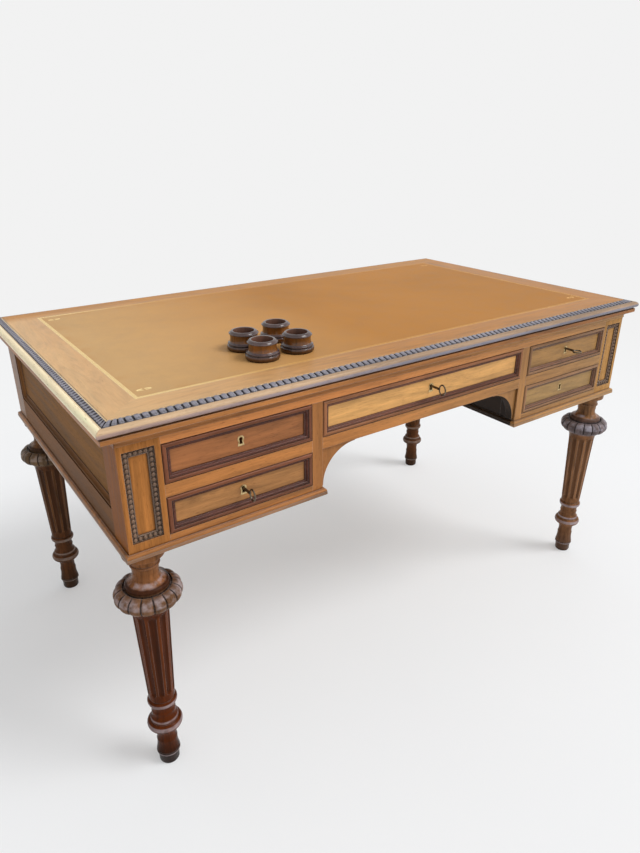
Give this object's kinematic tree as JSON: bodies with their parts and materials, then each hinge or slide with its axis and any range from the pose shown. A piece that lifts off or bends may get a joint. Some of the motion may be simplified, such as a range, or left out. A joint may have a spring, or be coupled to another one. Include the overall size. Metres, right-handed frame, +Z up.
{
  "type": "pedestal writing desk",
  "caption": "Flat-topped walnut writing desk with a leather writing surface, moulded drawers over a kneehole, keyed locks, turned fluted legs and loose leg cups.",
  "frame": {"origin": "on the floor, under the middle of the desk", "axes": "+X to the sitter's right, +Y away from the sitter, +Z up"},
  "size_m": [1.418, 0.82, 0.808],
  "materials": {
    "walnut": "satin wax",
    "burr_walnut": "satin wax",
    "figured_walnut": "satin wax",
    "dark_walnut": "polished",
    "turned_walnut": "polished",
    "oak": "plain",
    "leather": "satin, gold-tooled edge",
    "brass": "worn",
    "steel": "darkened"
  },
  "bodies": {
    "frame": {"back_frame": "walnut", "back_panels": "walnut", "back_post_left": "walnut", "back_post_right": "walnut", "base_mouldings": "walnut", "bed_moulding": "walnut", "carved_band": "dark_walnut", "corner_beads": "dark_walnut", "drawer_dividers": "walnut", "drawer_runners": "oak", "frieze_rail": "walnut", "front_post_left": "walnut", "front_post_right": "walnut", "inner_stiles": "walnut", "knee_brackets": "walnut", "knee_rail": "walnut", "kneehole_sides": "walnut", "leather_top": "leather", "leg_back_left": "turned_walnut", "leg_back_right": "turned_walnut", "leg_front_left": "turned_walnut", "leg_front_right": "turned_walnut", "pedestal_boards": "walnut", "side_panels": "walnut", "side_rails": "walnut", "top_board": "burr_walnut", "top_edging": "walnut"},
    "drawer_upper_left": {"drawer_front_upper_left": "figured_walnut", "drawer_moulding_upper_left": "dark_walnut", "drawer_box_upper_left": "oak", "lock_upper_left": "brass"},
    "bolt_upper_left": {"bolt_upper_left": "steel"},
    "drawer_lower_left": {"drawer_front_lower_left": "figured_walnut", "drawer_moulding_lower_left": "dark_walnut", "drawer_box_lower_left": "oak", "lock_lower_left": "brass"},
    "bolt_lower_left": {"bolt_lower_left": "steel"},
    "drawer_centre": {"drawer_front_centre": "figured_walnut", "drawer_moulding_centre": "dark_walnut", "drawer_box_centre": "oak", "lock_centre": "brass"},
    "bolt_centre": {"bolt_centre": "steel"},
    "drawer_upper_right": {"drawer_front_upper_right": "figured_walnut", "drawer_moulding_upper_right": "dark_walnut", "drawer_box_upper_right": "oak", "lock_upper_right": "brass"},
    "bolt_upper_right": {"bolt_upper_right": "steel"},
    "drawer_lower_right": {"drawer_front_lower_right": "figured_walnut", "drawer_moulding_lower_right": "dark_walnut", "drawer_box_lower_right": "oak", "lock_lower_right": "brass"},
    "bolt_lower_right": {"bolt_lower_right": "steel"},
    "key_lower_left": {"key_lower_left": "steel"},
    "key_centre": {"key_centre": "steel"},
    "key_upper_right": {"key_upper_right": "steel"},
    "riser_1": {"riser_1": "turned_walnut"},
    "riser_2": {"riser_2": "turned_walnut"},
    "riser_3": {"riser_3": "turned_walnut"},
    "riser_4": {"riser_4": "turned_walnut"}
  },
  "joints": [
    {"name": "drawer_upper_left_slide", "type": "slide", "parent": "frame", "child": "drawer_upper_left", "axis": [0, -1, 0], "range_m": [0, 0.4]},
    {"name": "bolt_upper_left_slide", "type": "slide", "parent": "drawer_upper_left", "child": "bolt_upper_left", "axis": [0, 0, 1], "range_m": [0, 0.008]},
    {"name": "drawer_lower_left_slide", "type": "slide", "parent": "frame", "child": "drawer_lower_left", "axis": [0, -1, 0], "range_m": [0, 0.4]},
    {"name": "bolt_lower_left_slide", "type": "slide", "parent": "drawer_lower_left", "child": "bolt_lower_left", "axis": [0, 0, 1], "range_m": [0, 0.008]},
    {"name": "drawer_centre_slide", "type": "slide", "parent": "frame", "child": "drawer_centre", "axis": [0, -1, 0], "range_m": [0, 0.4]},
    {"name": "bolt_centre_slide", "type": "slide", "parent": "drawer_centre", "child": "bolt_centre", "axis": [0, 0, 1], "range_m": [0, 0.008]},
    {"name": "drawer_upper_right_slide", "type": "slide", "parent": "frame", "child": "drawer_upper_right", "axis": [0, -1, 0], "range_m": [0, 0.4]},
    {"name": "bolt_upper_right_slide", "type": "slide", "parent": "drawer_upper_right", "child": "bolt_upper_right", "axis": [0, 0, 1], "range_m": [0, 0.008]},
    {"name": "drawer_lower_right_slide", "type": "slide", "parent": "frame", "child": "drawer_lower_right", "axis": [0, -1, 0], "range_m": [0, 0.4]},
    {"name": "bolt_lower_right_slide", "type": "slide", "parent": "drawer_lower_right", "child": "bolt_lower_right", "axis": [0, 0, 1], "range_m": [0, 0.008]},
    {"name": "key_lower_left_turn", "type": "hinge", "parent": "drawer_lower_left", "child": "key_lower_left", "pos_m": [-0.457, -0.372, 0.5805], "axis": [0, 1, 0], "range_deg": [0, 90]},
    {"name": "key_centre_turn", "type": "hinge", "parent": "drawer_centre", "child": "key_centre", "pos_m": [0, -0.372, 0.67825], "axis": [0, 1, 0], "range_deg": [0, 90]},
    {"name": "key_upper_right_turn", "type": "hinge", "parent": "drawer_upper_right", "child": "key_upper_right", "pos_m": [0.457, -0.372, 0.67825], "axis": [0, 1, 0], "range_deg": [0, 90]},
    {"name": "riser_1_lift", "type": "slide", "parent": "frame", "child": "riser_1", "axis": [0, 0, 1], "range_m": [0, 0.15]},
    {"name": "riser_2_lift", "type": "slide", "parent": "frame", "child": "riser_2", "axis": [0, 0, 1], "range_m": [0, 0.15]},
    {"name": "riser_3_lift", "type": "slide", "parent": "frame", "child": "riser_3", "axis": [0, 0, 1], "range_m": [0, 0.15]},
    {"name": "riser_4_lift", "type": "slide", "parent": "frame", "child": "riser_4", "axis": [0, 0, 1], "range_m": [0, 0.15]}
  ],
  "couplings": [
    {"joint": "bolt_lower_left_slide", "follows": "key_lower_left_turn", "m_per_rad": 0.005093},
    {"joint": "bolt_centre_slide", "follows": "key_centre_turn", "m_per_rad": 0.005093},
    {"joint": "bolt_upper_right_slide", "follows": "key_upper_right_turn", "m_per_rad": 0.005093}
  ]
}
